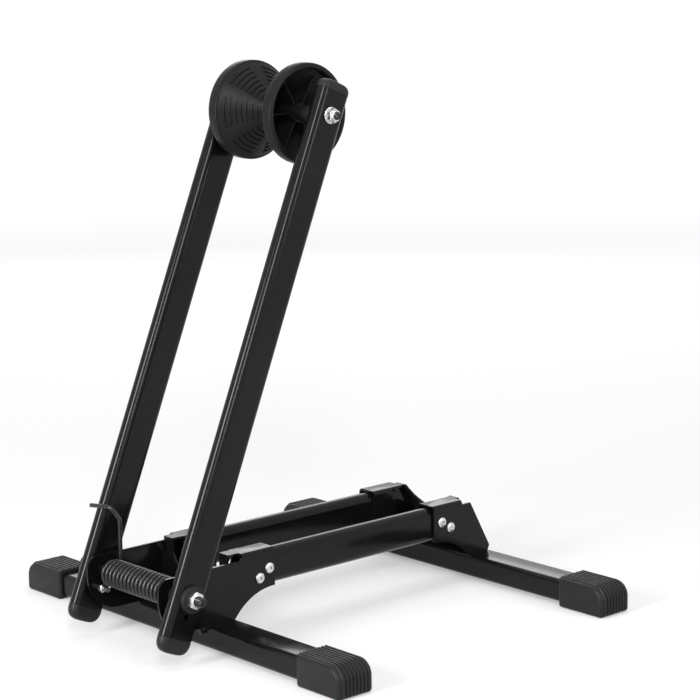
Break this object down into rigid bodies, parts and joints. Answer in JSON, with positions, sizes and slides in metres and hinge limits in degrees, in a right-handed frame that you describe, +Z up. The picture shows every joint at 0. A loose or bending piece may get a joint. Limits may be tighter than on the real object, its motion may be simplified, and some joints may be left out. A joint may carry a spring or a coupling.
{
  "type": "floor bike rack",
  "caption": "Low steel base with notched saddles that a bicycle's wheel rolls into, and sprung arms that press a grooved roller against its tyre to hold the bike upright.",
  "frame": {"origin": "on the floor, under the middle of the rack's bounding box", "axes": "+Z up; +X from the arm pivot to the rear, where the wheel rolls in; +Y to the right of someone who rolls it in"},
  "size_m": [0.4886, 0.518, 0.5841],
  "materials": {
    "black_paint": "satin black powder coat",
    "black_plastic": "moulded, fine grain",
    "black_steel": "blackened spring steel",
    "zinc": "bright zinc plate"
  },
  "bodies": {
    "base": {"front_cross_tube": "black_paint", "rear_cross_tube": "black_paint", "left_front_foot_cap": "black_plastic", "right_front_foot_cap": "black_plastic", "left_rear_foot_cap": "black_plastic", "right_rear_foot_cap": "black_plastic", "front_bracket": "black_paint", "rear_bracket": "black_paint", "left_rail": "black_paint", "right_rail": "black_paint", "left_front_screw_1": "zinc", "right_front_screw_1": "zinc", "left_front_screw_2": "zinc", "right_front_screw_2": "zinc", "left_rear_screw_1": "zinc", "right_rear_screw_1": "zinc", "left_rear_screw_2": "zinc", "right_rear_screw_2": "zinc", "pivot_bolt": "black_steel", "pivot_nut": "zinc", "pivot_sleeve": "black_steel", "left_pivot_spacer": "black_plastic", "right_pivot_spacer": "black_plastic", "torsion_spring": "black_steel"},
    "arms": {"left_arm": "black_paint", "right_arm": "black_paint", "left_arm_top_cap": "black_plastic", "right_arm_top_cap": "black_plastic", "left_arm_bottom_cap": "black_plastic", "right_arm_bottom_cap": "black_plastic", "left_flange_bush": "black_plastic", "right_flange_bush": "black_plastic", "stop_screw": "zinc", "stop_nut": "zinc", "axle_bolt": "black_steel", "axle_nut": "zinc", "left_axle_washer": "zinc", "right_axle_washer": "zinc", "left_axle_spacer": "black_plastic", "right_axle_spacer": "black_plastic"},
    "roller": {"left_roller_half": "black_plastic", "right_roller_half": "black_plastic"}
  },
  "joints": [
    {"name": "arm_pivot", "type": "hinge", "parent": "base", "child": "arms", "pos_m": [-0.20821, 0, 0.07], "axis": [0, 1, 0], "range_deg": [-40.3, 0], "stiffness_Nm_per_rad": 3.1, "springref_deg": 34.38, "deforming": ["torsion_spring"]},
    {"name": "roller_spin", "type": "hinge", "parent": "arms", "child": "roller", "pos_m": [-0.01848, 0, 0.5326], "axis": [0, 1, 0], "continuous": true}
  ]
}
